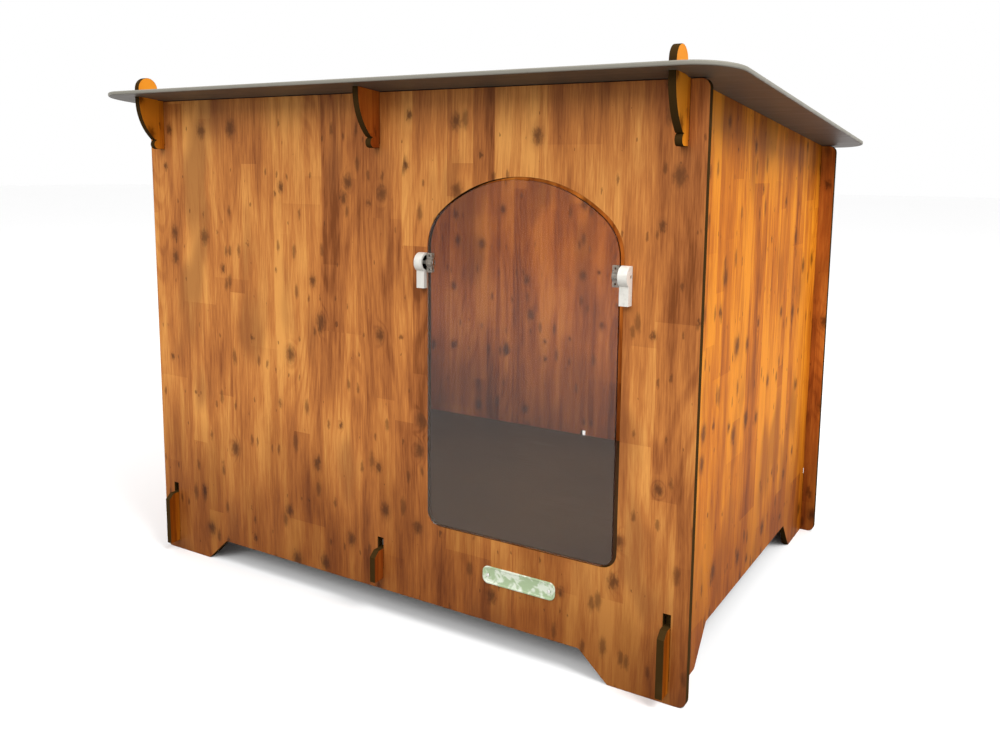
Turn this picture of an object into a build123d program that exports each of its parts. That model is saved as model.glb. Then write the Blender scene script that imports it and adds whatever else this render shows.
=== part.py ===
"""Flat-panel pet kennel in 10 mm compact laminate, with a lift-off pent roof and a clear swing door.

Millimetres.  +X runs along the front to the right, +Y runs to the rear, +Z is up, and the ground is Z = 0.
Two upright panels, front and rear, are held by the tabs of the side walls, a floor joist and a rafter.
"""
import os
from math import radians, sin, sqrt, tan

from build123d import *

# ------------------------------------------------------------------ sheets and overall sizes
sheet = 10.0                    # wall sheet
roof_sheet = 6.0
floor_sheet = 8.0
kennel_width = 1000.0           # front and rear panels, end to end
kennel_depth = 720.0            # front face of the front panel to rear face of the rear panel
front_height = 802.0            # ground to the underside of the roof, at the front face
roof_slope = 4.9                # degrees, falling to the rear
roof_over_front = 74.5
roof_over_side = 49.5
roof_over_rear = 27.0
roof_corner = 60.0
roof_edge_round = 2.0
wall_inset = 25.0               # end of the front panel to the outer face of a side wall

# ------------------------------------------------------------------ feet
panel_foot = 112.0              # width of a foot of the front and rear panels, on the ground
panel_foot_run = 44.0           # sideways run of its sloping edge
panel_clearance = 40.0          # ground to the raised bottom of the front and rear panels
wall_foot = 103.0               # the same three sizes for a side wall, from the panels' outer faces
wall_foot_run = 44.0
wall_clearance = 52.0
outer_corner = 12.0             # rounding of a panel's outer corners
inner_corner = 6.0              # rounding where a foot meets the ground or the raised bottom

# ------------------------------------------------------------------ tabs, hooks and notches
slot_play = 0.4                 # sheet in a slot, total
hook_reach = 21.0               # how far a hook stands out of a panel
hook_gap = 0.3                  # back of a hook to the panel that it holds
hook_drop = 17.0                # how far a lower hook hangs below its slot
hook_chamfer = 10.0
wall_hook_bottom = 16.0
joist_hook_bottom = 58.0
notch_depth = 74.0              # open notches for the upper tabs, below the roof
upper_drop = 7.0
corbel_reach = 48.0             # front corbel under the roof
corbel_straight = 2.0           # its upright part below the roof
corbel_height = 81.0
corbel_waist = 20.0             # reach of the corbel above its bead
corbel_bead = 16.0              # height of the bead
bead_radius = 8.0
beak = 4.0                      # depth of the groove over the bead
ear_width = 38.0
ear_top = 838.0
ear_play = 0.8                  # ear in its roof slot, each side

# ------------------------------------------------------------------ floor, joist and rafter
floor_top = 115.0
floor_play = 1.5                # floor edge to the walls
joist_bottom = 52.0
rafter_depth = notch_depth
batten = 20.0                   # square battens that carry the floor's sides
batten_end_gap = 5.0
batten_screw_inset = 60.0
batten_screw_count = 3
wall_screw_bite = 7.0            # batten screw inside the wall

# ------------------------------------------------------------------ doorway and door
door_center = 243.5
doorway_width = 306.0
doorway_bottom = 166.0
doorway_top = 682.0
crown_radius = 195.0
shoulder_radius = 71.0
doorway_corner = 22.0
door_gap = 3.5
door_sheet = 4.0

# ------------------------------------------------------------------ hinges
axis_below_spring = 21.0        # pivot axis below the springing of the arch
axis_forward = 4.0              # pivot axis and middle of the door's sheet, in front of the panel
drum_radius = 14.0
block_width = 13.0
block_overhang = 1.5            # block past the edge of the doorway
block_foot_depth = 11.0
block_foot = 37.0               # pivot axis to the bottom of the block
pin_diameter = 5.0
pin_hold_play = 0.02            # pin in its block, radial
pin_turn_play = 0.1             # pin in the door's lug, radial
pin_inset = 0.5                 # outer end of the pin inside the block's face
lug_width = 9.0
lug_side_gap = 0.5              # edge of the door to the lug
lug_boss_radius = 6.5
lug_cheek = 1.8                 # cheeks of the lug on both faces of the door
lug_height = 28.0
lug_play = 0.2                  # lug in the door's notch, and cheeks on the door's faces
rivet_diameter = 3.0
rivet_spacing = 20.0
rivet_head_radius = 2.4
rivet_head = 1.2
hole_play = 0.1                 # radial, round rivets and screws
screw_diameter = 4.0
screw_drops = (29.0, 15.0)      # screws of a block below the pivot axis
screw_bite = 8.0                # screw inside the block
screw_head_radius = 3.8
screw_head = 2.2
washer_radius = 4.6
washer_sheet = 0.8

# ------------------------------------------------------------------ blank plate below the door
plate_center = (248.0, 112.0)
plate_width = 118.0
plate_height = 26.0
plate_sheet = 2.0
plate_rivet_spacing = 100.0

# ------------------------------------------------------------------ planes worked out from the sizes
roof_depth = roof_over_front + kennel_depth + roof_over_rear
front_face = roof_over_front - roof_depth / 2
rear_face = front_face + kennel_depth
front_inside = front_face + sheet
rear_inside = rear_face - sheet
half_width = kennel_width / 2
wall_center = half_width - wall_inset - sheet / 2
wall_inside = wall_center - sheet / 2
slope = tan(radians(roof_slope))
floor_under = floor_top - floor_sheet
shoulder_spread = doorway_width / 2 - shoulder_radius
crown_center = doorway_top - crown_radius
spring_height = crown_center + sqrt((crown_radius - shoulder_radius) ** 2 - shoulder_spread**2)
axis_height = round(spring_height, 0) - axis_below_spring
block_bottom = axis_height - block_foot
screw_heights = [axis_height - drop for drop in screw_drops]
pivot_y = front_face - axis_forward
doorway_left = door_center - doorway_width / 2
doorway_right = door_center + doorway_width / 2
block_offset = doorway_width / 2 - block_overhang + block_width / 2
lug_offset = doorway_width / 2 - door_gap - lug_side_gap - lug_width / 2
door_front = pivot_y - door_sheet / 2
door_back = pivot_y + door_sheet / 2


def underside(y):
    """Height of the roof's underside at depth y."""
    return front_height - slope * (y - front_face)


def upright(y):
    """Sketch plane facing the front, with X to the right and Z up, at depth y."""
    return Plane.XZ.offset(-y)


def foot_edge(outer, inner, foot, run, rise):
    """Bottom outline points between two feet, from the outer end to the inner end of the panel."""
    return [
        (outer, 0),
        (outer + foot, 0),
        (outer + foot + run, rise),
        (inner - foot - run, rise),
        (inner - foot, 0),
        (inner, 0),
    ]


def doorway_outline():
    """Three-centred arch over straight sides, with small corners at the sill."""
    turn = crown_radius / (crown_radius - shoulder_radius)
    meet_x = shoulder_spread * turn
    meet_z = crown_center + (spring_height - crown_center) * turn
    with BuildSketch() as outline:
        with BuildLine():
            Line((-doorway_width / 2, spring_height), (-doorway_width / 2, doorway_bottom))
            Line((-doorway_width / 2, doorway_bottom), (doorway_width / 2, doorway_bottom))
            Line((doorway_width / 2, doorway_bottom), (doorway_width / 2, spring_height))
            RadiusArc((doorway_width / 2, spring_height), (meet_x, meet_z), -shoulder_radius)
            RadiusArc((meet_x, meet_z), (-meet_x, meet_z), -crown_radius)
            RadiusArc((-meet_x, meet_z), (-doorway_width / 2, spring_height), -shoulder_radius)
        make_face()
        fillet(outline.vertices().group_by(Axis.Y)[0], doorway_corner)
    return outline.sketch


def panel_outline(top):
    """Front or rear panel without its openings: rounded corners and two sloping feet."""
    with BuildSketch() as outline:
        with BuildLine():
            bottom = foot_edge(-half_width, half_width, panel_foot, panel_foot_run, panel_clearance)
            Polyline(*bottom, (half_width, top), (-half_width, top), close=True)
        make_face()
        ends = outline.vertices().filter_by(lambda corner: abs(abs(corner.X) - half_width) < 1)
        fillet(ends, outer_corner)
        feet = outline.vertices().filter_by(lambda corner: 1 < corner.Y + 2 < panel_clearance + 3
                                            and abs(corner.X) < half_width - 2 * outer_corner)
        fillet(feet, inner_corner)
    return outline.sketch


def cut_panel_slots(top, notch_bottom):
    """Slots for the lower hooks and open notches for the upper tabs."""
    wide = sheet + slot_play
    for x in (-wall_center, wall_center):
        with Locations((x, (wall_hook_bottom + hook_drop + floor_under + hook_drop) / 2)):
            Rectangle(wide, floor_under - wall_hook_bottom, mode=Mode.SUBTRACT)
    with Locations((0, (joist_hook_bottom + hook_drop + floor_under + hook_drop) / 2)):
        Rectangle(wide, floor_under - joist_hook_bottom, mode=Mode.SUBTRACT)
    for x in (-wall_center, 0, wall_center):
        with Locations((x, (notch_bottom + top + sheet) / 2)):
            Rectangle(wide, top + sheet - notch_bottom, mode=Mode.SUBTRACT)


def lower_hooks(bottom):
    """Front and rear drop hooks of a wall or joist: a neck through the slot and a lip behind it."""
    for face, inside, out in ((front_face, front_inside, -1), (rear_face, rear_inside, 1)):
        tip = face + out * hook_reach
        lip = face + out * hook_gap
        with BuildLine() as edge:
            Polyline(
                (inside, floor_under),
                (face + out * (hook_reach - hook_chamfer), floor_under),
                (tip, floor_under - hook_chamfer * 0.9),
                (tip, bottom),
                (lip, bottom),
                (lip, bottom + hook_drop + slot_play),
                (inside, bottom + hook_drop + slot_play),
                close=True,
            )
        make_face(edge.edges())


def rear_upper_hook():
    """Plain hook that holds the top of the rear panel."""
    notch_bottom = underside(rear_face) - notch_depth + slot_play
    tip = rear_face + hook_reach
    lip = rear_face + hook_gap
    with BuildLine() as edge:
        Polyline(
            (rear_inside, underside(rear_inside)),
            (tip, underside(tip)),
            (tip, notch_bottom - upper_drop + hook_chamfer),
            (tip - hook_chamfer, notch_bottom - upper_drop),
            (lip, notch_bottom - upper_drop),
            (lip, notch_bottom),
            (rear_inside, notch_bottom),
            close=True,
        )
    make_face(edge.edges())


def front_corbel():
    """Curved corbel under the roof's front edge, with a bead at its foot."""
    notch_bottom = front_height - notch_depth + slot_play
    low = front_height - corbel_height
    bead_top = low + corbel_bead
    crest = front_face - corbel_reach
    waist = front_face - corbel_waist
    curve_top = front_height - corbel_straight
    with BuildLine() as edge:
        Polyline((front_inside, underside(front_inside)), (crest, underside(crest)), (crest, curve_top))
        TangentArc((crest, curve_top), (waist, bead_top), tangent=(0, -1))
        Line((waist, bead_top), (waist + beak, bead_top - 1))
        ThreePointArc((waist + beak, bead_top - 1), (waist - 1, low + bead_radius * 0.9), (waist + 7, low))
        Polyline(
            (waist + 7, low),
            (front_face - hook_gap, low),
            (front_face - hook_gap, notch_bottom),
            (front_inside, notch_bottom),
            (front_inside, underside(front_inside)),
        )
    make_face(edge.edges())


def roof_ear():
    """Round-topped ear that locates the roof."""
    crest = front_face - corbel_reach
    radius = ear_width / 2
    with BuildLine() as edge:
        Polyline((crest, ear_top - radius), (crest, underside(crest) - 5),
                 (crest + ear_width, underside(crest) - 5), (crest + ear_width, ear_top - radius))
        ThreePointArc((crest + ear_width, ear_top - radius), (crest + radius, ear_top), (crest, ear_top - radius))
    make_face(edge.edges())


def side_wall_outline():
    """Side wall in the YZ plane with feet, sloping top, hooks, corbel and ear."""
    with BuildSketch() as outline:
        with BuildLine():
            bottom = foot_edge(front_face, rear_face, wall_foot, wall_foot_run, wall_clearance)
            bottom[0] = (front_inside, 0)
            bottom[-1] = (rear_inside, 0)
            Polyline(*bottom, (rear_inside, underside(rear_inside)), (front_inside, underside(front_inside)),
                     close=True)
        make_face()
        feet = outline.vertices().filter_by(lambda corner: corner.Y < wall_clearance + 1
                                            and front_inside + 5 < corner.X < rear_inside - 5)
        fillet(feet, inner_corner)
        lower_hooks(wall_hook_bottom)
        rear_upper_hook()
        front_corbel()
        roof_ear()
    return outline.sketch


# ------------------------------------------------------------------ front panel
# The doorway is cut through it, and the hinge blocks, washers and blank plate are screwed to it.
doorway = doorway_outline()
front_top = underside(front_inside)

with BuildPart() as front_panel:
    with BuildSketch(upright(front_inside)):
        add(panel_outline(front_top))
        cut_panel_slots(front_top, front_height - notch_depth)
        with Locations((door_center, 0)):
            add(doorway, mode=Mode.SUBTRACT)
        with Locations(*[(door_center + side * block_offset, z) for side in (-1, 1) for z in screw_heights]):
            Circle(screw_diameter / 2 + hole_play, mode=Mode.SUBTRACT)
        with Locations(plate_center):
            with GridLocations(plate_rivet_spacing, 1, 2, 1):
                Circle(rivet_diameter / 2 + hole_play, mode=Mode.SUBTRACT)
    extrude(amount=sheet)
front_panel.part.label = "front_panel"

# ------------------------------------------------------------------ rear panel
rear_top = underside(rear_face)

with BuildPart() as rear_panel:
    with BuildSketch(upright(rear_face)):
        add(panel_outline(rear_top))
        cut_panel_slots(rear_top, rear_top - notch_depth)
    extrude(amount=sheet)
rear_panel.part.label = "rear_panel"

# ------------------------------------------------------------------ side walls
# The floor battens are screwed to their inner faces, so the screw places are worked out first.
batten_length = rear_inside - front_inside - 2 * batten_end_gap
batten_middle = (front_inside + rear_inside) / 2
batten_step = (batten_length - 2 * batten_screw_inset) / (batten_screw_count - 1)
batten_screw_length = batten + wall_screw_bite


def screw_places(x):
    """Planes of a batten's screws at x, each pointing outward along the side given by the sign of x."""
    out = 1 if x > 0 else -1
    rows = range(batten_screw_count)
    first = batten_middle - batten_step * (batten_screw_count - 1) / 2
    return [Plane(origin=(x, first + batten_step * row, floor_under - batten / 2), z_dir=(out, 0, 0))
            for row in rows]


def side_wall(side):
    """One side wall, with blind holes for its batten's screws."""
    with BuildPart() as wall:
        with BuildSketch(Plane.YZ.offset(side * wall_center - sheet / 2)):
            add(side_wall_outline())
        extrude(amount=sheet)
        with BuildSketch(*screw_places(side * wall_inside)):
            Circle(screw_diameter / 2 + hole_play)
        extrude(amount=wall_screw_bite + 0.5, mode=Mode.SUBTRACT)
    return wall


left_side_wall = side_wall(-1)
left_side_wall.part.label = "left_side_wall"
right_side_wall = side_wall(1)
right_side_wall.part.label = "right_side_wall"

# ------------------------------------------------------------------ floor joist
with BuildPart() as floor_joist:
    with BuildSketch(Plane.YZ.offset(-sheet / 2)):
        with BuildLine():
            Polyline((front_inside, joist_bottom), (rear_inside, joist_bottom), (rear_inside, floor_under),
                     (front_inside, floor_under), close=True)
        make_face()
        lower_hooks(joist_hook_bottom)
    extrude(amount=sheet)
floor_joist.part.label = "floor_joist"

# ------------------------------------------------------------------ roof rafter
with BuildPart() as roof_rafter:
    with BuildSketch(Plane.YZ.offset(-sheet / 2)):
        with BuildLine():
            Polyline(
                (front_inside, underside(front_inside)),
                (rear_inside, underside(rear_inside)),
                (rear_inside, underside(rear_inside) - rafter_depth),
                (front_inside, underside(front_inside) - rafter_depth),
                close=True,
            )
        make_face()
        rear_upper_hook()
        front_corbel()
    extrude(amount=sheet)
roof_rafter.part.label = "roof_rafter"

# ------------------------------------------------------------------ floor
with BuildPart() as floor_panel:
    with BuildSketch(Plane.XY.offset(floor_under)):
        with Locations((0, (front_inside + rear_inside) / 2)):
            Rectangle(2 * (wall_inside - floor_play), rear_inside - front_inside - 2 * floor_play)
    extrude(amount=floor_sheet)
floor_panel.part.label = "floor_panel"

# ------------------------------------------------------------------ floor battens and their screws
def floor_batten(side):
    """Batten on one side wall, with countersunk screw holes from the inside."""
    inner = side * (wall_inside - batten)
    with BuildPart() as strip:
        with Locations((inner + side * batten / 2, batten_middle, floor_under - batten / 2)):
            Box(batten, batten_length, batten)
        with BuildSketch(*screw_places(inner)):
            Circle(screw_diameter / 2 + hole_play)
        extrude(amount=batten, mode=Mode.SUBTRACT)
        with BuildSketch(*screw_places(inner)):
            Circle(screw_head_radius + hole_play)
        extrude(amount=screw_head + hole_play, mode=Mode.SUBTRACT)
    return strip


floor_batten_left = floor_batten(-1)
floor_batten_left.part.label = "floor_batten_left"
floor_batten_right = floor_batten(1)
floor_batten_right.part.label = "floor_batten_right"

with BuildPart() as batten_screws:
    for side in (-1, 1):
        inner = side * (wall_inside - batten)
        with BuildSketch(*screw_places(inner)):
            Circle(screw_head_radius)
        extrude(amount=screw_head)
        with BuildSketch(*screw_places(inner)):
            Circle(screw_diameter / 2)
        extrude(amount=batten_screw_length)
batten_screws.part.label = "batten_screws"

# ------------------------------------------------------------------ roof
roof_width = kennel_width + 2 * roof_over_side
ear_middle = front_face - corbel_reach + ear_width / 2

with BuildPart() as roof_panel:
    with BuildSketch(Plane.YZ.offset(-roof_width / 2)):
        with BuildLine():
            Polyline(
                (-roof_depth / 2, underside(-roof_depth / 2)),
                (roof_depth / 2, underside(roof_depth / 2)),
                (roof_depth / 2, underside(roof_depth / 2) + roof_sheet),
                (-roof_depth / 2, underside(-roof_depth / 2) + roof_sheet),
                close=True,
            )
        make_face()
    extrude(amount=roof_width)
    with BuildSketch(Plane.XY):
        RectangleRounded(roof_width, roof_depth, roof_corner)
    extrude(amount=front_height + 10 * roof_sheet, mode=Mode.INTERSECT)
    with BuildSketch(Plane.XY):
        with Locations((-wall_center, ear_middle), (wall_center, ear_middle)):
            Rectangle(sheet + 2 * ear_play, ear_width + 2 * ear_play)
    extrude(amount=front_height + 10 * roof_sheet, mode=Mode.SUBTRACT)
    top_face = roof_panel.faces().sort_by(Axis.Z)[-1]
    fillet(top_face.outer_wire().edges(), roof_edge_round)
roof_panel.part.label = "roof_panel"

# ------------------------------------------------------------------ clear door
# A notch in each side takes the boss of a lug, so the pivot axis lies in the middle of the sheet.
notch_width = lug_width + 2 * (lug_side_gap + lug_play)

with BuildPart() as door_flap:
    with BuildSketch(upright(door_back)):
        with Locations((door_center, 0)):
            add(doorway)
        offset(amount=-door_gap)
        with Locations(*[(door_center + side * lug_offset, axis_height) for side in (-1, 1)]):
            with GridLocations(1, rivet_spacing, 1, 2):
                Circle(rivet_diameter / 2 + hole_play, mode=Mode.SUBTRACT)
            Rectangle(notch_width, 2 * (lug_boss_radius + lug_play), mode=Mode.SUBTRACT)
    extrude(amount=door_sheet)
door_flap.part.label = "door_flap"


# ------------------------------------------------------------------ hinge blocks, pins and lugs
def hinge_block(side):
    """Keyhole-shaped plastic block beside the doorway, bored for the pivot pin and two screws."""
    left = door_center + side * block_offset - block_width / 2
    with BuildPart() as block:
        with BuildSketch(Plane.YZ.offset(left)):
            with Locations((pivot_y, axis_height)):
                Circle(drum_radius)
            with Locations((front_face - block_foot_depth / 2, (block_bottom + axis_height) / 2)):
                RectangleRounded(block_foot_depth, axis_height - block_bottom, 1.5)
            with Locations((front_face + drum_radius, axis_height)):
                Rectangle(2 * drum_radius, 4 * drum_radius, mode=Mode.SUBTRACT)
            with Locations((pivot_y, axis_height)):
                Circle(pin_diameter / 2 + pin_hold_play, mode=Mode.SUBTRACT)
        extrude(amount=block_width)
        with BuildSketch(upright(front_face)):
            with Locations(*[(door_center + side * block_offset, z) for z in screw_heights]):
                Circle(screw_diameter / 2 + pin_hold_play)
        extrude(amount=screw_bite + 0.5, mode=Mode.SUBTRACT)
    return block


def hinge_pin(side):
    """Steel pin held in the block, on which the lug turns."""
    outer = doorway_width / 2 - block_overhang + block_width - pin_inset
    inner = doorway_width / 2 - door_gap - lug_side_gap - lug_width
    with BuildPart() as pin:
        with BuildSketch(Plane.YZ.offset(door_center + min(side * outer, side * inner))):
            with Locations((pivot_y, axis_height)):
                Circle(pin_diameter / 2)
        extrude(amount=outer - inner)
        chamfer(pin.edges(), 0.4)
    return pin


def door_lug(side):
    """Boss that turns on the pin, with two cheeks riveted over the edge of the door."""
    with BuildPart() as lug:
        with BuildSketch(Plane.YZ.offset(door_center + side * lug_offset - lug_width / 2)):
            with Locations((pivot_y, axis_height)):
                Rectangle(door_sheet + 2 * (lug_play + lug_cheek), lug_height)
                Rectangle(door_sheet + 2 * lug_play, lug_height, mode=Mode.SUBTRACT)
                Circle(lug_boss_radius)
                Circle(pin_diameter / 2 + pin_turn_play, mode=Mode.SUBTRACT)
        extrude(amount=lug_width)
        with BuildSketch(upright(pivot_y)):
            with Locations((door_center + side * lug_offset, axis_height)):
                with GridLocations(1, rivet_spacing, 1, 2):
                    Circle(rivet_diameter / 2 + hole_play)
        extrude(amount=door_sheet, both=True, mode=Mode.SUBTRACT)
    return lug


hinge_block_left = hinge_block(-1)
hinge_block_left.part.label = "hinge_block_left"
hinge_block_right = hinge_block(1)
hinge_block_right.part.label = "hinge_block_right"
hinge_pin_left = hinge_pin(-1)
hinge_pin_left.part.label = "hinge_pin_left"
hinge_pin_right = hinge_pin(1)
hinge_pin_right.part.label = "hinge_pin_right"
door_lug_left = door_lug(-1)
door_lug_left.part.label = "door_lug_left"
door_lug_right = door_lug(1)
door_lug_right.part.label = "door_lug_right"

# ------------------------------------------------------------------ fasteners of the hinges
block_screw_spots = [(door_center + side * block_offset, z) for side in (-1, 1) for z in screw_heights]

with BuildPart() as hinge_washers:
    with BuildSketch(upright(front_inside + washer_sheet)):
        with Locations(*block_screw_spots):
            Circle(washer_radius)
            Circle(screw_diameter / 2 + hole_play, mode=Mode.SUBTRACT)
    extrude(amount=washer_sheet)
hinge_washers.part.label = "hinge_washers"

with BuildPart() as hinge_screws:
    with BuildSketch(upright(front_inside + washer_sheet + screw_head)):
        with Locations(*block_screw_spots):
            Circle(screw_head_radius)
    extrude(amount=screw_head)
    with BuildSketch(upright(front_inside + washer_sheet)):
        with Locations(*block_screw_spots):
            Circle(screw_diameter / 2)
    extrude(amount=washer_sheet + sheet + screw_bite)
hinge_screws.part.label = "hinge_screws"

lug_depth = door_sheet + 2 * (lug_play + lug_cheek)

with BuildPart() as lug_rivets:
    for side in (-1, 1):
        for step in (-0.5, 0.5):
            spot = (door_center + side * lug_offset, axis_height + step * rivet_spacing)
            for y, radius, length in (
                (pivot_y + lug_depth / 2 + rivet_head, rivet_head_radius, rivet_head),
                (pivot_y + lug_depth / 2, rivet_diameter / 2, lug_depth),
                (pivot_y - lug_depth / 2, rivet_head_radius, rivet_head),
            ):
                with BuildSketch(upright(y)):
                    with Locations(spot):
                        Circle(radius)
                extrude(amount=length)
lug_rivets.part.label = "lug_rivets"

# ------------------------------------------------------------------ blank plate and its rivets
with BuildPart() as blank_plate:
    with BuildSketch(upright(front_face)):
        with Locations(plate_center):
            RectangleRounded(plate_width, plate_height, plate_height * 0.35)
            with GridLocations(plate_rivet_spacing, 1, 2, 1):
                Circle(rivet_diameter / 2 + hole_play, mode=Mode.SUBTRACT)
    extrude(amount=plate_sheet)
    fillet(blank_plate.faces().sort_by(Axis.Y)[0].outer_wire().edges(), 0.6)
blank_plate.part.label = "blank_plate"

with BuildPart() as plate_rivets:
    for side in (-0.5, 0.5):
        spot = (plate_center[0] + side * plate_rivet_spacing, plate_center[1])
        for y, radius, length in (
            (front_inside + rivet_head, rivet_head_radius, rivet_head),
            (front_inside, rivet_diameter / 2, sheet + plate_sheet),
            (front_face - plate_sheet, rivet_head_radius, rivet_head),
        ):
            with BuildSketch(upright(y)):
                with Locations(spot):
                    Circle(radius)
            extrude(amount=length)
plate_rivets.part.label = "plate_rivets"

# ------------------------------------------------------------------ export
os.makedirs("parts", exist_ok=True)
pieces = [
    front_panel, rear_panel, left_side_wall, right_side_wall, floor_joist, roof_rafter, floor_panel,
    floor_batten_left, floor_batten_right, batten_screws, roof_panel, door_flap,
    hinge_block_left, hinge_block_right, hinge_pin_left, hinge_pin_right, door_lug_left, door_lug_right,
    hinge_washers, hinge_screws, lug_rivets, blank_plate, plate_rivets,
]
for piece in pieces:
    export_step(piece.part, f"parts/{piece.part.label}.step")
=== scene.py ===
"""Looks of a slot-together pet kennel: wood-decor laminate walls, a grey pent roof and a clear swing door."""
from math import cos, pi, radians, sin

import bpy
from mathutils import Matrix, Vector


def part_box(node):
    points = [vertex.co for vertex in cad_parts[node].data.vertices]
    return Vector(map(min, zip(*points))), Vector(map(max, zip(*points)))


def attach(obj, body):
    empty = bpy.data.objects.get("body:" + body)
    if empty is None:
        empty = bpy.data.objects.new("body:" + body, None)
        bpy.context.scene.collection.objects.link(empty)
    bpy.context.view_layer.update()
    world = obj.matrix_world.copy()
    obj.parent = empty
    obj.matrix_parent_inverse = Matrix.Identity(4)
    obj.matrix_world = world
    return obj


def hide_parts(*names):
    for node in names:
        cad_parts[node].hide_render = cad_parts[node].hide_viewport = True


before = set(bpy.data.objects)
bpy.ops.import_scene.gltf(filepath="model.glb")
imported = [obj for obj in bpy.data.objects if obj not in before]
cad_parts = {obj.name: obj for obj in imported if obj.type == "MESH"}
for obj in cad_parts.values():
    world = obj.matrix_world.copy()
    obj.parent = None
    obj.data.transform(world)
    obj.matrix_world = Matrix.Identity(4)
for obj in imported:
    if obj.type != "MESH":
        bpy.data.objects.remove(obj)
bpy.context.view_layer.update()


# ---------------------------------------------------------------------------------------------------
# Wall sheets.  Front, rear, two side walls, floor joist and roof rafter are milled from 10 mm compact
# laminate: a dark resin core between two printed knotty-pine faces.  Milling leaves a fine arris on
# every edge and shows the core.
# ---------------------------------------------------------------------------------------------------
wall_arris = 0.0006
pine_dark = (0.190, 0.055, 0.013, 1.0)
pine_brown = (0.345, 0.114, 0.031, 1.0)
pine_orange = (0.535, 0.198, 0.050, 1.0)
pine_honey = (0.760, 0.350, 0.092, 1.0)
knot_heart = (0.085, 0.030, 0.010, 1.0)
smudge_tone = (0.225, 0.076, 0.024, 1.0)
# painted shade: the darker tone the sheets take near the ground, where less light comes from below
ground_shade_tone = (0.36, 0.27, 0.20, 1.0)
core_tone = (0.038, 0.020, 0.005, 1.0)
core_layer = (0.064, 0.035, 0.011, 1.0)
front_tint = (1.0, 0.96, 0.90, 1.0)
# painted shade and painted orange bounce light: the rear panel is printed darker and redder
rear_shade_tint = (0.90, 0.67, 0.38, 1.0)
# painted light: the side walls are printed lighter and yellower, as the key light from the right shows them
side_lit_tint = (1.0, 0.75, 0.18, 1.0)
side_lit_lightness = 0.11
# painted shade: the rafter and joist are printed darker and redder, for the shade under the roof and the floor
beam_shade_tint = (0.78, 0.48, 0.24, 1.0)
face_coat = 0.20                # gloss of the printed faces, almost gone on the milled edges
edge_coat = 0.02
coat_roughness = 0.38
edge_turn = 0.93                # a face whose normal leans further than this from the sheet's is an edge
wood_relief = 0.0002
stave_size = (0.52, 0.0790)     # length and width of a stave, then of the narrower strips in it
strip_size = (0.68, 0.0345)
sway_reach = 0.020              # how far the grain wanders sideways
knot_grid = (15.5, 11.0)        # cells per metre, across and along the grain, and the largest in a cell
knot_largest = 0.185
pip_grid = (41.0, 15.5)
pip_largest = 0.31
ring_count = 260.0
streak_coarse = (58.0, 4.6)     # noise cells per metre, across and along the grain
streak_fine = (430.0, 24.0)
drift_grid = (13.0, 4.2)
smudge_grid = (10.0, 3.6)
# height and strength of the painted shade near the ground
ground_shade_height = 0.34
ground_shade_strength = 0.85
weld_reach = 0.000002           # corners nearer than this are one corner
flat_turn = radians(0.5)        # facets nearer than this in direction are one face
arris_turn = radians(35)
arris_steps = 2
smooth_turn = radians(50)


def pick_only(piece):
    """Leaves one object selected and active."""
    bpy.ops.object.select_all(action="DESELECT")
    piece.select_set(True)
    bpy.context.view_layer.objects.active = piece


def dress(piece, material):
    """Gives a piece its one material."""
    piece.data.materials.clear()
    piece.data.materials.append(material)


def shader(tree, kind, values=None, **settings):
    """Adds a shader node.  A value may be a number, a colour or another node's output."""
    made = tree.nodes.new("ShaderNode" + kind)
    for name, setting in settings.items():
        setattr(made, name, setting)
    for socket, value in (values or {}).items():
        if isinstance(value, bpy.types.NodeSocket):
            tree.links.new(value, made.inputs[socket])
        else:
            made.inputs[socket].default_value = value
    return made


def calc(tree, operation, first, second=0.5, third=0.0, clamp=False):
    """Adds a Math node and gives its output."""
    made = shader(tree, "Math", {0: first, 1: second, 2: third}, operation=operation, use_clamp=clamp)
    return made.outputs[0]


def stretch(tree, place, across, along, shift=0.0):
    """A pattern's coordinates: the place on the sheet scaled across and along the grain."""
    values = {"Vector": place, "Scale": (across, along, 1.0), "Location": (shift, shift * 1.7, 0.0)}
    return shader(tree, "Mapping", values).outputs["Vector"]


def span(tree, value, low, high, to_low=0.0, to_high=1.0, smooth=True):
    """Maps a value from one range to another and keeps it inside."""
    kind = "SMOOTHSTEP" if smooth else "LINEAR"
    values = {"Value": value, "From Min": low, "From Max": high, "To Min": to_low, "To Max": to_high}
    return shader(tree, "MapRange", values, interpolation_type=kind).outputs["Result"]


def shade(colour, share):
    """A colour made lighter or darker."""
    return tuple(channel * share for channel in colour[:3]) + (1.0,)


def blend_colour(tree, amount, first, second, mode="MIX"):
    """Mixes two colours."""
    made = shader(tree, "Mix", {0: amount, 6: first, 7: second}, data_type="RGBA", blend_type=mode)
    return made.outputs[2]


def new_group(name, inputs, outputs):
    """An empty shader group with its own sockets, and its input and output nodes."""
    group = bpy.data.node_groups.new(name, "ShaderNodeTree")
    for title, kind, value in inputs:
        socket = group.interface.new_socket(title, in_out="INPUT", socket_type="NodeSocket" + kind)
        if value is not None:
            socket.default_value = value
    for title, kind in outputs:
        group.interface.new_socket(title, in_out="OUTPUT", socket_type="NodeSocket" + kind)
    return group, group.nodes.new("NodeGroupInput").outputs, group.nodes.new("NodeGroupOutput").inputs


def use_group(tree, group, values):
    """Places a group in a material."""
    return shader(tree, "Group", values, node_tree=group).outputs


def grained(tree, place, grid, shift=0.0, detail=2.0, roughness=0.5):
    """Noise on the sheet, stretched along the grain."""
    values = {"Vector": stretch(tree, place, *grid, shift), "Scale": 1.0, "Detail": detail,
              "Roughness": roughness}
    return shader(tree, "TexNoise", values, noise_dimensions="2D").outputs["Fac"]


def weigh(tree, value, weight, total):
    """Adds a value to a total, weighted and counted from its middle."""
    return calc(tree, "MULTIPLY_ADD", calc(tree, "SUBTRACT", value, 0.5), weight, total)


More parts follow.
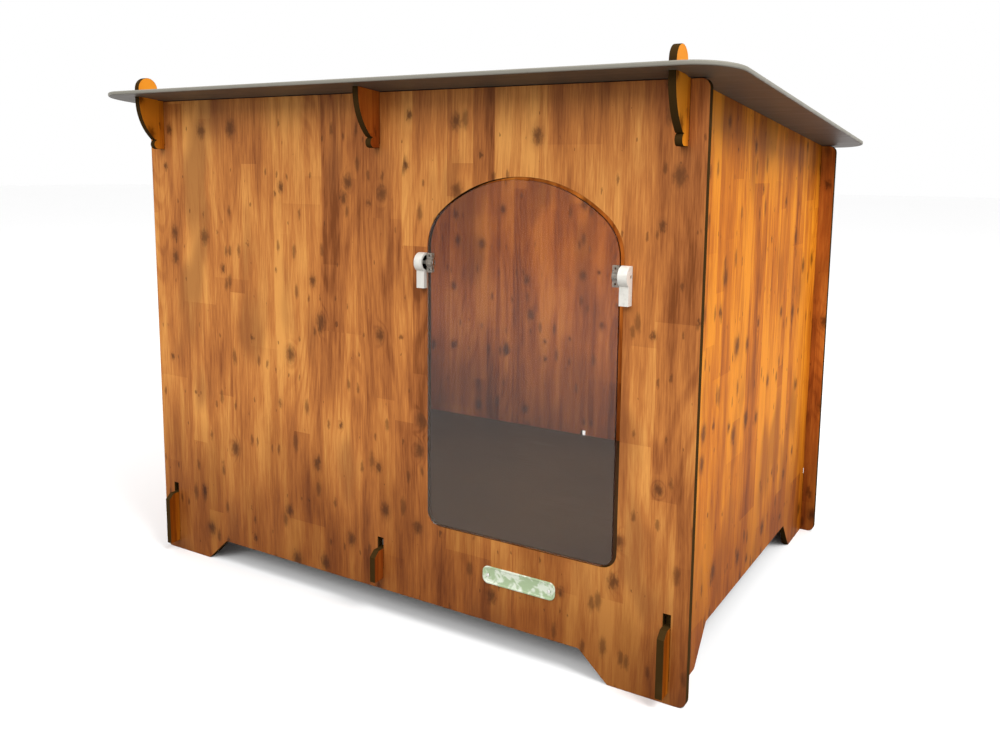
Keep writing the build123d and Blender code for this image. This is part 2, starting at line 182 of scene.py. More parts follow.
def scattered(tree, place, grid, shift):
    """Stretched Voronoi cells: the distance to each cell's point and the cell's random colour."""
    cell = shader(tree, "TexVoronoi", {"Vector": stretch(tree, place, *grid, shift), "Scale": 1.0},
                  voronoi_dimensions="2D")
    luck = shader(tree, "SeparateColor", {"Color": cell.outputs["Color"]}).outputs
    return cell.outputs["Distance"], luck


def inside(tree, distance, reach):
    """How far inside a spot's reach a distance lies: 1 at its middle, 0 at its rim, less outside."""
    return calc(tree, "SUBTRACT", 1.0, calc(tree, "DIVIDE", distance, reach))


def stave_tone(tree, place, length, width, shift):
    """A random tone for each stave of a board glued up from staves with staggered ends."""
    parts = shader(tree, "SeparateXYZ", {"Vector": place}).outputs
    row = calc(tree, "FLOOR", calc(tree, "MULTIPLY_ADD", parts["X"], 1 / width, shift))
    stagger = shader(tree, "TexWhiteNoise", {"W": row}, noise_dimensions="1D").outputs["Value"]
    step = calc(tree, "FLOOR", calc(tree, "MULTIPLY_ADD", parts["Y"], 1 / length, stagger))
    cell = shader(tree, "CombineXYZ", {"X": row, "Y": step}).outputs[0]
    return shader(tree, "TexWhiteNoise", {"Vector": cell}, noise_dimensions="2D").outputs["Value"]


def make_pine_decor():
    """Printed pine: staves of different tone, streaks, growth rings round knots, pips and smudges."""
    tree, given, out = new_group(
        "pine_decor",
        [("Place", "Vector", None), ("Knots", "Float", 1.0), ("Lightness", "Float", 0.0),
         ("Tint", "Color", None), ("Ground height", "Float", 1.0)],
        [("Color", "Color"), ("Roughness", "Float"), ("Height", "Float")],
    )
    place = given["Place"]
    # the grain wanders a few millimetres sideways on its way up
    wander = calc(tree, "SUBTRACT", grained(tree, place, (2.2, 1.3), detail=1.0), 0.5)
    aside = shader(tree, "CombineXYZ", {"X": calc(tree, "MULTIPLY", wander, sway_reach)}).outputs[0]
    grain = shader(tree, "VectorMath", {0: place, 1: aside}, operation="ADD").outputs["Vector"]
    # staves and the narrower strips in them, each piece with its own tone
    stave = stave_tone(tree, place, *stave_size, 3.0)
    strip = stave_tone(tree, place, *strip_size, 11.0)
    # knots: most cells carry one, of random size, with a frayed rim and a soft halo
    ragged = grained(tree, place, (230.0, 120.0), detail=3.0, roughness=0.6)
    fray = calc(tree, "MULTIPLY", calc(tree, "SUBTRACT", ragged, 0.5), 0.20)
    knot_away, knot_luck = scattered(tree, grain, knot_grid, 0.31)
    knot_size = span(tree, knot_luck["Red"], 0.30, 1.0, 0.0, knot_largest, smooth=False)
    heart = inside(tree, calc(tree, "ADD", knot_away, fray), calc(tree, "ADD", knot_size, 0.001))
    heart = calc(tree, "MULTIPLY", span(tree, heart, -0.25, 0.85), span(tree, knot_size, 0.01, 0.05))
    halo = inside(tree, knot_away, calc(tree, "MULTIPLY_ADD", knot_size, 1.9, 0.03))
    halo = calc(tree, "MULTIPLY", span(tree, halo, 0.0, 1.0), span(tree, knot_size, 0.02, 0.06))
    # pips: small dark dashes, in loose flocks
    pip_away, pip_luck = scattered(tree, grain, pip_grid, 0.77)
    flock = grained(tree, place, (5.0, 3.4), 2.1, detail=1.0)
    pip_size = span(tree, pip_luck["Green"], 0.34, 1.0, 0.0, pip_largest, smooth=False)
    pip_size = calc(tree, "MULTIPLY", pip_size, span(tree, flock, 0.40, 0.56, 0.30, 1.0))
    pip = inside(tree, calc(tree, "ADD", pip_away, fray), calc(tree, "ADD", pip_size, 0.001))
    pip = span(tree, pip, -0.1, 0.75)
    # growth rings: contour lines of a slow field, pushed aside by knots and cut at each stave
    values = {"Vector": stretch(tree, grain, 6.5, 0.95, 4.0), "W": calc(tree, "MULTIPLY", stave, 7.0),
              "Scale": 1.0, "Detail": 1.2, "Roughness": 0.4}
    slow = shader(tree, "TexNoise", values, noise_dimensions="4D").outputs["Fac"]
    field = calc(tree, "ADD", slow, calc(tree, "MULTIPLY", halo, 0.045))
    rings = span(tree, calc(tree, "SINE", calc(tree, "MULTIPLY", field, ring_count)), 0.0, 1.0)
    figure = grained(tree, place, (5.5, 1.9), 9.0, detail=1.0)
    rings = calc(tree, "MULTIPLY", rings, span(tree, figure, 0.50, 0.66, 0.10, 0.80))
    # streaks of the straight grain, coarse and fine, and slower patches of tone
    coarse = grained(tree, grain, streak_coarse, 1.0, detail=3.0, roughness=0.6)
    fine = grained(tree, grain, streak_fine, detail=3.0, roughness=0.65)
    drift = grained(tree, place, drift_grid, 6.0)
    # tone, from dark to honey
    tone = calc(tree, "MULTIPLY_ADD", stave, 0.30, 0.40)
    for part, weight in ((strip, 0.38), (coarse, 0.90), (fine, 0.60), (drift, 0.80)):
        tone = weigh(tree, part, weight, tone)
    tone = calc(tree, "ADD", tone, given["Lightness"])
    tone = calc(tree, "SUBTRACT", tone, calc(tree, "MULTIPLY", rings, 0.17), clamp=True)
    ramp = shader(tree, "ValToRGB", {"Fac": tone})
    ramp.color_ramp.elements[0].position = 0.02
    ramp.color_ramp.elements[0].color = pine_dark
    ramp.color_ramp.elements[1].position = 0.92
    ramp.color_ramp.elements[1].color = pine_honey
    for position, colour in ((0.26, pine_brown), (0.55, pine_orange)):
        ramp.color_ramp.elements.new(position).color = colour
    # smudges lie round some knots and in long soft patches
    patch = grained(tree, place, smudge_grid, 12.0)
    smudge = span(tree, patch, 0.54, 0.72, 0.0, 0.55)
    smudge = calc(tree, "MAXIMUM", smudge, calc(tree, "MULTIPLY", halo, 0.48))
    colour = blend_colour(tree, smudge, ramp.outputs["Color"], smudge_tone)
    colour = blend_colour(tree, calc(tree, "MULTIPLY", pip, 0.58), colour, knot_heart)
    knots = calc(tree, "MULTIPLY", heart, calc(tree, "MULTIPLY", given["Knots"], 0.72), clamp=True)
    colour = blend_colour(tree, knots, colour, knot_heart)
    colour = blend_colour(tree, 1.0, colour, given["Tint"], "MULTIPLY")
    # painted shade: the lowest part of each sheet darkens towards the ground, unevenly, where less light comes
    # from below
    ground_shade_amount = weigh(tree, patch, 0.30, given["Ground height"])
    ground_shade_amount = span(tree, ground_shade_amount, ground_shade_height, 0.0, 0.0, ground_shade_strength)
    colour = blend_colour(tree, ground_shade_amount, colour, ground_shade_tone, "MULTIPLY")
    tree.links.new(colour, out["Color"])
    tree.links.new(span(tree, fine, 0.3, 0.7, 0.56, 0.46), out["Roughness"])
    relief = calc(tree, "MULTIPLY_ADD", rings, -0.5, fine)
    tree.links.new(calc(tree, "SUBTRACT", relief, heart), out["Height"])
    return tree


def make_milled_core():
    """Milled edge of compact laminate: pressed paper layers and cutter marks, paler in rubbed patches."""
    group, given, out = new_group(
        "milled_core",
        [("Depth", "Float", 0.0), ("Place", "Vector", None), ("Tone", "Color", None), ("Layer", "Color", None)],
        [("Color", "Color"), ("Roughness", "Float"), ("Height", "Float")],
    )
    layers = shader(group, "TexNoise", {"W": given["Depth"], "Scale": 2600.0, "Detail": 2.0},
                    noise_dimensions="1D").outputs["Fac"]
    marks = shader(group, "TexNoise", {"Vector": given["Place"], "Scale": 55.0, "Detail": 4.0}).outputs["Fac"]
    rubbed = calc(group, "MULTIPLY", span(group, layers, 0.35, 0.75), 0.6)
    rubbed = calc(group, "MULTIPLY_ADD", span(group, marks, 0.5, 0.8), 0.4, rubbed)
    group.links.new(blend_colour(group, rubbed, given["Tone"], given["Layer"]), out["Color"])
    group.links.new(span(group, marks, 0.3, 0.7, 0.42, 0.58), out["Roughness"])
    group.links.new(calc(group, "ADD", layers, marks), out["Height"])
    return group


pine_decor = make_pine_decor()
milled_core = make_milled_core()


def new_material(name):
    """An empty material with its Principled shader."""
    material = bpy.data.materials.new(name)
    material.use_nodes = True
    tree = material.node_tree
    return material, tree, tree.nodes["Principled BSDF"]


def feed(tree, surface, colour, roughness, height, depth, strength):
    """Joins colour, roughness and relief to a Principled shader."""
    tree.links.new(colour, surface.inputs["Base Color"])
    tree.links.new(roughness, surface.inputs["Roughness"])
    bump = shader(tree, "Bump", {"Height": height, "Distance": depth, "Strength": strength})
    tree.links.new(bump.outputs["Normal"], surface.inputs["Normal"])


def pine_sheet(name, across, thickness_axis, shift, tint, lightness=0.0):
    """Pine-faced laminate whose grain runs up, with its milled edges told by the way they face."""
    material, tree, surface = new_material(name)
    here = shader(tree, "TexCoord").outputs
    at = shader(tree, "SeparateXYZ", {"Vector": here["Object"]}).outputs
    facing = shader(tree, "SeparateXYZ", {"Vector": here["Normal"]}).outputs[thickness_axis]
    on_sheet = shader(tree, "CombineXYZ", {"X": at[across], "Y": at["Z"]}).outputs[0]
    moved = shader(tree, "Mapping", {"Vector": on_sheet, "Location": shift}).outputs["Vector"]
    decor = use_group(tree, pine_decor, {"Place": moved, "Lightness": lightness, "Tint": tint,
                                         "Ground height": at["Z"]})
    core = use_group(tree, milled_core, {"Depth": at[thickness_axis], "Place": here["Object"],
                                         "Tone": core_tone, "Layer": core_layer})
    edge = calc(tree, "LESS_THAN", calc(tree, "ABSOLUTE", facing), edge_turn)
    mixed = []
    for title in ("Roughness", "Height"):
        mixed.append(shader(tree, "Mix", {0: edge, 2: decor[title], 3: core[title]}).outputs[0])
    colour = blend_colour(tree, edge, decor["Color"], core["Color"])
    feed(tree, surface, colour, mixed[0], mixed[1], wood_relief, 0.35)
    surface.inputs["Specular IOR Level"].default_value = 0.0
    tree.links.new(span(tree, edge, 0.0, 1.0, face_coat, edge_coat), surface.inputs["Coat Weight"])
    surface.inputs["Coat Roughness"].default_value = coat_roughness
    return material


def eased_copy(node, arris, material, body):
    """Stands for a CAD node: the same shape with a fine arris on its sharp edges."""
    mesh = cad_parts[node].data.copy()
    piece = bpy.data.objects.new(node + "_milled", mesh)
    bpy.context.scene.collection.objects.link(piece)
    pick_only(piece)
    bpy.ops.object.mode_set(mode="EDIT")
    bpy.ops.mesh.select_all(action="SELECT")
    bpy.ops.mesh.remove_doubles(threshold=weld_reach)
    bpy.ops.mesh.dissolve_limited(angle_limit=flat_turn)
    bpy.ops.object.mode_set(mode="OBJECT")
    dress(piece, material)
    easing = piece.modifiers.new("arris", "BEVEL")
    easing.width = arris
    easing.segments = arris_steps
    easing.limit_method = "ANGLE"
    easing.angle_limit = arris_turn
    easing.use_clamp_overlap = False
    bpy.ops.object.modifier_apply(modifier="arris")
    bpy.ops.object.shade_smooth_by_angle(angle=smooth_turn)
    evened = piece.modifiers.new("evened", "WEIGHTED_NORMAL")
    evened.keep_sharp = True
    evened.weight = 100
    bpy.ops.object.modifier_apply(modifier="evened")
    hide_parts(node)
    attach(piece, body)
    return piece


pine_front = pine_sheet("pine_front_faces", "X", "Y", (0.35, 0.12, 0.0), front_tint)
# painted shade: a darker, redder copy of the pine for the rear panel
shaded_rear_pine = pine_sheet("pine_rear_faces", "X", "Y", (3.15, 1.37, 0.0), rear_shade_tint)
# painted light: a lighter, yellower copy of the pine for the side walls in the key light
lit_side_pine = pine_sheet("pine_side_faces", "Y", "X", (6.21, 2.63, 0.0), side_lit_tint, side_lit_lightness)
# painted shade: a darker, redder copy of the pine for the rafter and joist
shaded_beam_pine = pine_sheet("pine_beam_faces", "Y", "X", (8.49, 4.05, 0.0), beam_shade_tint)
wall_sheets = {
    "front_panel": pine_front,
    "rear_panel": shaded_rear_pine,
    "left_side_wall": lit_side_pine,
    "right_side_wall": lit_side_pine,
    "floor_joist": shaded_beam_pine,
    "roof_rafter": shaded_beam_pine,
}
for node, material in wall_sheets.items():
    eased_copy(node, wall_arris, material, "kennel")


# ---------------------------------------------------------------------------------------------------
# Roof, floor and battens.  Plain grey compact laminate, coloured right through: the 6 mm roof lies
# loose on the walls, the 8 mm floor on the joist and on two battens screwed to the side walls.
# ---------------------------------------------------------------------------------------------------
roof_arris = 0.0009
# painted shade over the roof's own dark grey: the face is darkened and browned for its shaded underside and the
# wood's orange light bounced onto it
roof_face_shaded = (0.062, 0.046, 0.030, 1.0)
grey_edge = (0.255, 0.240, 0.200, 1.0)
floor_face = (0.052, 0.035, 0.018, 1.0)
grey_turn = 0.90                # a face whose normal leans further than this from the sheet's is an edge
grey_relief = 0.00015
grey_gloss = 0.25


def grey_sheet(name, face, edge):
    """Grey laminate with a faint cloudy print, a fine stipple, scuffs and paler milled edges."""
    material, tree, surface = new_material(name)
    here = shader(tree, "TexCoord").outputs
    at = shader(tree, "SeparateXYZ", {"Vector": here["Object"]}).outputs
    clouds = shader(tree, "TexNoise", {"Vector": here["Object"], "Scale": 7.0, "Detail": 4.0}).outputs["Fac"]
    stipple = shader(tree, "TexNoise", {"Vector": here["Object"], "Scale": 900.0, "Detail": 2.0}).outputs["Fac"]
    drawn = {"Vector": stretch(tree, here["Object"], 9.0, 60.0), "Scale": 1.0, "Detail": 5.0, "Roughness": 0.7}
    scuffs = shader(tree, "TexNoise", drawn).outputs["Fac"]
    tint = blend_colour(tree, span(tree, clouds, 0.32, 0.68), shade(face, 0.90), shade(face, 1.12))
    tint = blend_colour(tree, span(tree, scuffs, 0.62, 0.82, 0.0, 0.08), tint, edge)
    core = use_group(tree, milled_core, {"Depth": at["Z"], "Place": here["Object"], "Tone": edge,
                                         "Layer": shade(edge, 0.82)})
    facing = shader(tree, "SeparateXYZ", {"Vector": here["Normal"]}).outputs["Z"]
    side = calc(tree, "LESS_THAN", calc(tree, "ABSOLUTE", facing), grey_turn)
    colour = blend_colour(tree, side, tint, core["Color"])
    rough = shader(tree, "Mix", {0: side, 2: span(tree, scuffs, 0.4, 0.8, 0.50, 0.38), 3: core["Roughness"]})
    feed(tree, surface, colour, rough.outputs[0], calc(tree, "ADD", stipple, scuffs), grey_relief, 0.30)
    surface.inputs["Specular IOR Level"].default_value = grey_gloss
    return material


# the roof's face colour carries painted shade and painted bounce light
roof_grey = grey_sheet("roof_grey_laminate", roof_face_shaded, grey_edge)
floor_grey = grey_sheet("floor_grey_laminate", floor_face, grey_edge)
eased_copy("roof_panel", roof_arris, roof_grey, "roof")
for node in ("floor_panel", "floor_batten_left", "floor_batten_right"):
    eased_copy(node, wall_arris, floor_grey, "kennel")


# ---------------------------------------------------------------------------------------------------
# Door.  A 4 mm clear acrylic sheet, very slightly smoky, cut to the arch with flame-polished edges.
# It hangs from two lugs of translucent plastic that are riveted over a notch in each side.
# ---------------------------------------------------------------------------------------------------
door_arris = 0.0005
acrylic_tint = (0.91, 0.885, 0.85, 1.0)
# painted shade: the near-black of the acrylic's cut edges, where the clear sheet shows dark by internal
# reflection
acrylic_edge_shade = (0.030, 0.008, 0.005, 1.0)
acrylic_bend = 1.3              # refraction of the sheet
polished_turn = 0.97            # a face whose normal leans further than this from the sheet's is an edge
lug_arris = 0.0004
lug_clearness = 0.70
lug_tint = (0.50, 0.45, 0.38, 1.0)


def clear_acrylic(name, tint, edge_shade_tint):
    """Acrylic that lets daylight into the room, with wiping marks in its gloss and cut edges painted near
    black: painted shade for the dark that internal reflections show there.
    """
    material, tree, surface = new_material(name)
    point = shader(tree, "TexCoord").outputs
    here = point["Object"]
    facing = shader(tree, "SeparateXYZ", {"Vector": point["Normal"]}).outputs["Y"]
    cut = calc(tree, "LESS_THAN", calc(tree, "ABSOLUTE", facing), polished_turn)
    wiped = shader(tree, "TexNoise", {"Vector": stretch(tree, here, 14.0, 14.0), "Scale": 1.0, "Detail": 5.0,
                                      "Distortion": 1.4}).outputs["Fac"]
    tree.links.new(span(tree, wiped, 0.35, 0.75, 0.015, 0.060), surface.inputs["Roughness"])
    haze = blend_colour(tree, span(tree, wiped, 0.45, 0.8), tint, shade(tint, 0.95))
    # painted shade on the cut edges
    tree.links.new(blend_colour(tree, cut, haze, edge_shade_tint), surface.inputs["Base Color"])
    surface.inputs["Transmission Weight"].default_value = 1.0
    surface.inputs["IOR"].default_value = acrylic_bend
    clear = shader(tree, "BsdfTransparent", {"Color": shade(tint, 0.97)})
    light = shader(tree, "LightPath").outputs
    through = calc(tree, "MAXIMUM", light["Is Shadow Ray"], light["Is Diffuse Ray"])
    mix = shader(tree, "MixShader", {0: through, 1: surface.outputs[0], 2: clear.outputs[0]})
    tree.links.new(mix.outputs[0], tree.nodes["Material Output"].inputs["Surface"])
    return material


def moulded_plastic(name, colour, roughness, grain):
    """Injection-moulded plastic: a fine spark-eroded skin and a little handling grime."""
    material, tree, surface = new_material(name)
    here = shader(tree, "TexCoord").outputs["Object"]
    skin = shader(tree, "TexNoise", {"Vector": here, "Scale": grain, "Detail": 3.0}).outputs["Fac"]
    grime = shader(tree, "TexNoise", {"Vector": here, "Scale": 120.0, "Detail": 4.0}).outputs["Fac"]
    tint = blend_colour(tree, span(tree, grime, 0.5, 0.8), colour, shade(colour, 0.84))
    rough = span(tree, grime, 0.3, 0.8, roughness, roughness + 0.12)
    feed(tree, surface, tint, rough, skin, 0.00006, 0.35)
    return material, surface


acrylic = clear_acrylic("clear_acrylic", acrylic_tint, acrylic_edge_shade)
eased_copy("door_flap", door_arris, acrylic, "door")
lug_plastic, lug_surface = moulded_plastic("lug_translucent_plastic", lug_tint, 0.22, 2500.0)
lug_surface.inputs["Transmission Weight"].default_value = lug_clearness
for node in ("door_lug_left", "door_lug_right"):
    eased_copy(node, lug_arris, lug_plastic, "door")


# ---------------------------------------------------------------------------------------------------
# Hinge blocks.  White moulded blocks beside the doorway: a drum round the pivot pin on a flat foot,
# with a dished boss in each end of the drum.  Each is held by two screws from inside the room.
# ---------------------------------------------------------------------------------------------------
block_white = (0.74, 0.715, 0.65, 1.0)
drum_radius = 0.014
block_foot_depth = 0.011
dish_rim = 0.0022
dish_depth = 0.0007
block_edge = 0.0009
pin_radius = 0.0025
along_x = (0, pi / 2, 0)
along_y = (pi / 2, 0, 0)

white_plastic, _ = moulded_plastic("hinge_white_plastic", block_white, 0.30, 1800.0)


def apply_place(piece):
    """Moves an object's place, turn and size into its mesh."""
    pick_only(piece)
    bpy.ops.object.transform_apply(location=True, rotation=True, scale=True)


def rod(radius, length, middle, turn, sides):
    """Round or many-sided bar with its place applied."""
    bpy.ops.object.select_all(action="DESELECT")
    bpy.ops.mesh.primitive_cylinder_add(vertices=sides, radius=radius, depth=length, location=middle,
                                        rotation=turn)
    bar = bpy.context.active_object
    apply_place(bar)
    return bar


def pick_faces(piece, test):
    """Selects the faces that pass a test, in edit mode."""
    pick_only(piece)
    bpy.ops.object.mode_set(mode="EDIT")
    bpy.ops.mesh.select_mode(type="FACE")
    bpy.ops.mesh.select_all(action="DESELECT")
    bpy.ops.object.mode_set(mode="OBJECT")
    for face in piece.data.polygons:
        face.select = test(face)
    bpy.ops.object.mode_set(mode="EDIT")


def apply_modifier(piece, kind, **settings):
    """Adds a modifier with these settings and applies it."""
    pick_only(piece)
    modifier = piece.modifiers.new("step", kind)
    for name, setting in settings.items():
        setattr(modifier, name, setting)
    bpy.ops.object.modifier_apply(modifier="step")


def combine(piece, other, operation):
    """Joins another solid to a piece or cuts it away, and removes it."""
    apply_modifier(piece, "BOOLEAN", object=other, operation=operation, solver="EXACT")
    bpy.data.objects.remove(other)


def hinge_block(node):
    """Drum with dished ends and a pin hole, joined to a foot and cut flat where it meets the panel."""
    low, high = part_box(node)
    wide = high.x - low.x
    middle = (low.x + high.x) / 2
    wall = high.y
    pivot_y = low.y + drum_radius
    pivot_z = high.z - drum_radius
    block = rod(drum_radius, wide, (middle, pivot_y, pivot_z), along_x, 72)
    block.name = node + "_moulded"
    foot_height = pivot_z - low.z
    foot_middle = (middle, wall - block_foot_depth / 2, low.z + foot_height / 2)
    bpy.ops.mesh.primitive_cube_add(size=1, location=foot_middle)
    foot = bpy.context.active_object
    foot.scale = (wide, block_foot_depth, foot_height)
    apply_place(foot)
    combine(block, foot, "UNION")
    pick_faces(block, lambda face: True)
    bpy.ops.mesh.bisect(plane_co=(0, wall, 0), plane_no=(0, 1, 0), clear_outer=True, use_fill=True)
    bpy.ops.object.mode_set(mode="OBJECT")
    apply_modifier(block, "BEVEL", width=block_edge, segments=3, limit_method="ANGLE", angle_limit=radians(40))
    # dish and pin hole, sunk into both ends of the drum
    for radius, depth in ((drum_radius - dish_rim - block_edge, dish_depth), (pin_radius, wide)):
        for side in (-1, 1):
            end = (middle + side * wide / 2, pivot_y, pivot_z)
            combine(block, rod(radius, 2 * depth, end, along_x, 64), "DIFFERENCE")
    pick_only(block)
    bpy.ops.object.shade_smooth_by_angle(angle=radians(32))
    dress(block, white_plastic)
    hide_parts(node)
    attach(block, "kennel")


for node in ("hinge_block_left", "hinge_block_right"):
    hinge_block(node)


# ---------------------------------------------------------------------------------------------------
# Pins, screws, washers and rivets.  Stainless steel: turned pins in the hinge blocks, socket-head
# screws and washers on the inside of the front panel and in the battens, domed rivets in the lugs.
# ---------------------------------------------------------------------------------------------------
steel_tone = (0.60, 0.59, 0.57, 1.0)
steel_roughness = 0.24
pin_arris = 0.0002
washer_arris = 0.0001
screw_head = (0.0038, 0.0022)   # radius and height
screw_key = 0.0015
screw_shank = 0.002
stem_overlap = 0.0002
rivet_dome = (0.0024, 0.0012)   # radius and height
rivet_shank = 0.0015


def brushed_steel(name, colour, roughness):
    """Stainless steel with turning lines, small scratches and a dull film."""
    material, tree, surface = new_material(name)
    here = shader(tree, "TexCoord").outputs["Object"]
    lines = shader(tree, "TexNoise", {"Vector": stretch(tree, here, 900.0, 900.0), "Scale": 1.0, "Detail": 2.0})
    film = shader(tree, "TexNoise", {"Vector": here, "Scale": 260.0, "Detail": 4.0}).outputs["Fac"]
    tint = blend_colour(tree, span(tree, film, 0.45, 0.8), colour, shade(colour, 0.72))
    feed(tree, surface, tint, span(tree, film, 0.3, 0.8, roughness, roughness + 0.18), lines.outputs["Fac"],
         0.00004, 0.4)
    surface.inputs["Metallic"].default_value = 1.0
    return material


steel = brushed_steel("stainless_steel", steel_tone, steel_roughness)
for node in ("hinge_pin_left", "hinge_pin_right"):
    eased_copy(node, pin_arris, steel, "kennel")
eased_copy("hinge_washers", washer_arris, steel, "kennel")


def socket_screw(radius, height, key, length, shank):
    """Button-head screw lying along +Y, its head's face at the origin and its shank behind it."""
    head = rod(radius, height, (0, height / 2, 0), along_y, 40)
    pick_faces(head, lambda face: face.normal.y < -0.9)
    bpy.ops.mesh.bevel(offset=height * 0.55, segments=4, affect="EDGES")
    bpy.ops.object.mode_set(mode="OBJECT")
    combine(head, rod(key, height * 1.1, (0, 0, 0), along_y, 6), "DIFFERENCE")
    combine(head, rod(shank, length, (0, height + length / 2 - stem_overlap, 0), along_y, 32), "UNION")
    return head


def set_out(model, spots, name, node, body, material):
    """Copies a model to each spot, joins the copies and lets them stand for a CAD node."""
    copies = []
    for turn, spot in spots:
        copy = bpy.data.objects.new(name, model.data.copy())
        bpy.context.scene.collection.objects.link(copy)
        copy.matrix_world = Matrix.Translation(spot) @ turn
        apply_place(copy)
        copies.append(copy)
    bpy.ops.object.select_all(action="DESELECT")
    for copy in copies:
        copy.select_set(True)
    bpy.context.view_layer.objects.active = copies[0]
    bpy.ops.object.join()
    piece = bpy.context.active_object
    piece.name = name
    bpy.ops.object.shade_smooth_by_angle(angle=radians(35))
    dress(piece, material)
    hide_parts(node)
    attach(piece, body)
    bpy.data.objects.remove(model)
    return piece


def lumps(node, axis, size):
    """Middles of a node's separate solids, told apart by their places across the axis."""
    found = []
    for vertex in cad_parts[node].data.vertices:
        spot = vertex.co.copy()
        spot[axis] = 0
        for group in found:
            if (group["middle"] - spot).length < size:
                group["low"] = min(group["low"], vertex.co[axis])
                group["high"] = max(group["high"], vertex.co[axis])
                group["box"][0] = Vector(map(min, group["box"][0], spot))
                group["box"][1] = Vector(map(max, group["box"][1], spot))
                break
        else:
            found.append({"middle": spot, "low": vertex.co[axis], "high": vertex.co[axis], "box": [spot, spot]})
    for group in found:
        group["middle"] = (group["box"][0] + group["box"][1]) / 2
    return found


face_out = Matrix.Rotation(pi, 4, "Z")
screw_low, screw_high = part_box("hinge_screws")
spots = [(face_out, Vector((g["middle"].x, g["high"], g["middle"].z))) for g in lumps("hinge_screws", 1, 0.009)]
model = socket_screw(*screw_head, screw_key, screw_high.y - screw_low.y - screw_head[1], screw_shank)
set_out(model, spots, "hinge_screws_turned", "hinge_screws", "kennel", steel)

# the batten screws stay as they are under the floor and only take the steel
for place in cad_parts["batten_screws"].material_slots:
    place.material = steel


def domed_rivet(radius, height, length, shank):
    """Rivet lying along Y with a dome at each end and its middle at the origin."""
    rivet = rod(shank, length, (0, 0, 0), along_y, 32)
    for side in (-1, 1):
        bpy.ops.mesh.primitive_uv_sphere_add(segments=32, ring_count=16, radius=radius)
        dome = bpy.context.active_object
        dome.scale = (1, height / radius, 1)
        dome.location = (0, side * length / 2, 0)
        apply_place(dome)
        pick_faces(dome, lambda face: True)
        bpy.ops.mesh.bisect(plane_co=(0, side * length / 2, 0), plane_no=(0, -side, 0), clear_outer=True,
                            use_fill=True)
        bpy.ops.object.mode_set(mode="OBJECT")
        combine(rivet, dome, "UNION")
    return rivet


for node, body in (("lug_rivets", "door"), ("plate_rivets", "kennel")):
    spots = [(Matrix.Identity(4), Vector((g["middle"].x, (g["low"] + g["high"]) / 2, g["middle"].z)))
             for g in lumps(node, 1, 0.006)]
    low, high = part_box(node)
    model = domed_rivet(*rivet_dome, high.y - low.y - 2 * rivet_dome[1], rivet_shank)
    set_out(model, spots, node + "_domed", node, body, steel)


# ---------------------------------------------------------------------------------------------------
# Blank plate.  A thin pressed plate under the doorway with a raised rim, printed pale green with a
# white cloudy ground and left without any wording.  Two domed rivets hold it.
# ---------------------------------------------------------------------------------------------------
plate_green = (0.36, 0.47, 0.27, 1.0)
plate_pale = (0.70, 0.76, 0.62, 1.0)
plate_rim = 0.0022
plate_relief = 0.0006


def blank_plate():
    """Rounded plate with a pressed field inside its rim."""
    low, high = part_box("blank_plate")
    bpy.ops.object.select_all(action="DESELECT")
    bpy.ops.mesh.primitive_cube_add(size=1, location=(low + high) / 2)
    plate = bpy.context.active_object
    plate.name = "blank_plate_pressed"
    plate.scale = high - low
    apply_place(plate)
    bpy.ops.object.mode_set(mode="EDIT")
    bpy.ops.mesh.select_mode(type="EDGE")
    bpy.ops.mesh.select_all(action="DESELECT")
    bpy.ops.object.mode_set(mode="OBJECT")
    for edge in plate.data.edges:
        one, other = (plate.data.vertices[index].co for index in edge.vertices)
        edge.select = abs(one.y - other.y) > 0.001
    bpy.ops.object.mode_set(mode="EDIT")
    bpy.ops.mesh.bevel(offset=(high.z - low.z) * 0.35, segments=10, affect="EDGES")
    bpy.ops.object.mode_set(mode="OBJECT")
    pick_faces(plate, lambda face: face.normal.y < -0.9)
    bpy.ops.mesh.inset(thickness=plate_rim)
    bpy.ops.mesh.inset(thickness=0.0007, depth=-plate_relief)
    bpy.ops.object.mode_set(mode="OBJECT")
    apply_modifier(plate, "BEVEL", width=0.00035, segments=2, limit_method="ANGLE", angle_limit=radians(35))
    bpy.ops.object.shade_smooth_by_angle(angle=radians(35))
    material, tree, surface = new_material("plate_green_print")
    here = shader(tree, "TexCoord").outputs["Object"]
    clouds = shader(tree, "TexNoise", {"Vector": here, "Scale": 75.0, "Detail": 3.0, "Distortion": 0.8})
    print_tone = blend_colour(tree, span(tree, clouds.outputs["Fac"], 0.42, 0.60), plate_green, plate_pale)
    skin = shader(tree, "TexNoise", {"Vector": here, "Scale": 1500.0, "Detail": 2.0}).outputs["Fac"]
    feed(tree, surface, print_tone, span(tree, skin, 0.3, 0.7, 0.28, 0.40), skin, 0.00005, 0.3)
    dress(plate, material)
    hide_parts("blank_plate")
    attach(plate, "kennel")


blank_plate()


# ---------------------------------------------------------------------------------------------------
# Studio.  A white floor and backdrop, one broad light from the right, one from above the front and a
# white surround that fills the shadows.
# ---------------------------------------------------------------------------------------------------
softbox_size = 2.4
right_power = 195.0
front_power = 92.0
room_lamp_size = 0.22
room_power = 2.9
floor_white = (0.97, 0.97, 0.97, 1.0)
floor_bounce = (0.23, 0.23, 0.23, 1.0)
white = (1.0, 1.0, 1.0, 1.0)


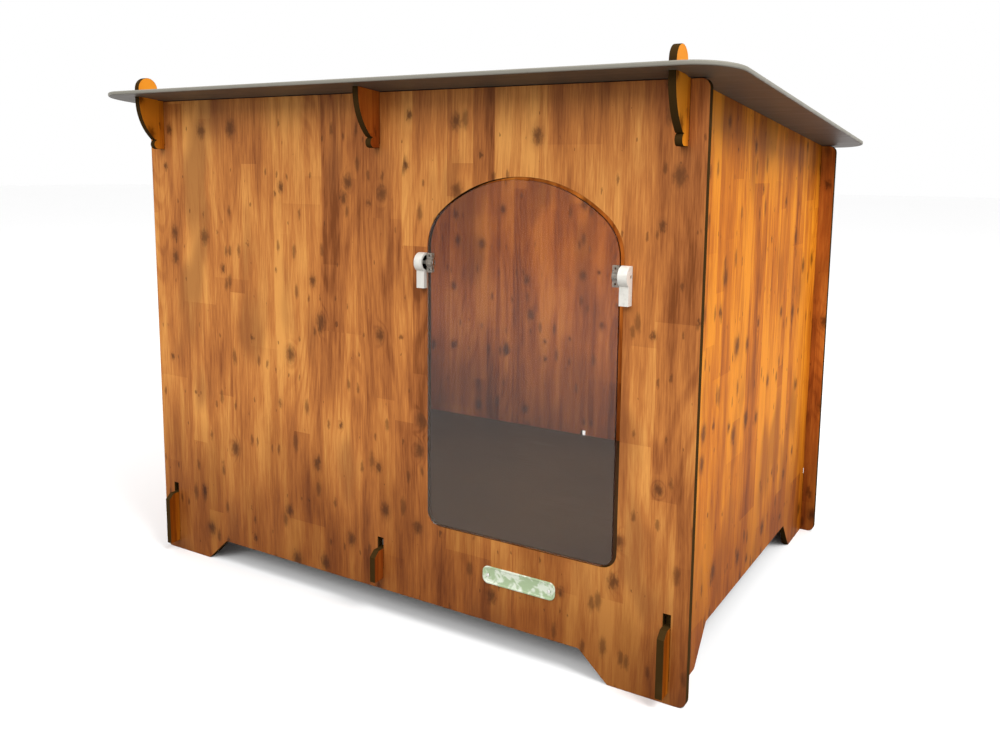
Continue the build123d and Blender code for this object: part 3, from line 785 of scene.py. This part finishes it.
def studio_floor():
    """Wide white floor under the feet."""
    bpy.ops.object.select_all(action="DESELECT")
    bpy.ops.mesh.primitive_plane_add(size=60, location=(0, 0, 0))
    floor = bpy.context.active_object
    floor.name = "studio_floor"
    material, tree, surface = new_material("studio_white")
    surface.inputs["Base Color"].default_value = floor_white
    surface.inputs["Roughness"].default_value = 0.9
    surface.inputs["Specular IOR Level"].default_value = 0.1
    # bounced light meets a greyer floor, so that undersides stay dark
    greyer = shader(tree, "BsdfDiffuse", {"Color": floor_bounce})
    bounced = shader(tree, "LightPath").outputs["Is Diffuse Ray"]
    mix = shader(tree, "MixShader", {0: bounced, 1: surface.outputs[0], 2: greyer.outputs[0]})
    tree.links.new(mix.outputs[0], tree.nodes["Material Output"].inputs["Surface"])
    floor.data.materials.append(material)


def soft_light(name, place, target, size, power):
    """Square soft white light aimed at a point."""
    lamp = bpy.data.lights.new(name, "AREA")
    lamp.size = size
    lamp.energy = power
    light = bpy.data.objects.new(name, lamp)
    bpy.context.scene.collection.objects.link(light)
    light.location = place
    light.rotation_euler = (Vector(target) - Vector(place)).to_track_quat("-Z", "Y").to_euler()
    return light


studio_floor()
soft_light("right_softbox", (3.5, -0.9, 3.9), (0.3, 0.0, 0.4), softbox_size, right_power)
soft_light("front_softbox", (-0.2, -4.3, 3.3), (0.1, 0.0, 0.4), softbox_size, front_power)
# a small lamp hangs unseen in the room, above the doorway, and lights the rear panel and the floor
room_lamp = soft_light("room_lamp", (0.05, -0.17, 0.63), (0.0, 0.36, 0.34), room_lamp_size, room_power)
room_lamp.visible_camera = room_lamp.visible_glossy = room_lamp.visible_transmission = False
world = bpy.data.worlds.new("studio_surround")
bpy.context.scene.world = world
world.use_nodes = True
surround = world.node_tree.nodes["Background"].inputs
surround["Color"].default_value = white
surround["Strength"].default_value = 1.0
bpy.context.scene.view_settings.view_transform = "Standard"

# The camera stands to the right of the front, a little under the eaves, and looks slightly down.
front_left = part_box("front_panel")[0]
stand = Vector((1.3661, -1.0771, 0.6912))       # from the front panel's lower left corner
yaw, pitch, roll = 0.5451, -0.1408, 0.0096      # radians
camera = bpy.data.cameras.new("camera")
camera.sensor_width = 36.0
camera.lens = 33.26
camera.shift_y = -0.0742
viewpoint = bpy.data.objects.new("camera", camera)
bpy.context.scene.collection.objects.link(viewpoint)
ahead = Vector((-sin(yaw) * cos(pitch), cos(yaw) * cos(pitch), sin(pitch)))
level = Vector((cos(yaw), sin(yaw), 0.0))
above = level.cross(ahead)
right = level * cos(roll) + above * sin(roll)
up = above * cos(roll) - level * sin(roll)
turn = Matrix((right, up, -ahead)).transposed()
viewpoint.matrix_world = Matrix.Translation(front_left + stand) @ turn.to_4x4()
bpy.context.scene.camera = viewpoint
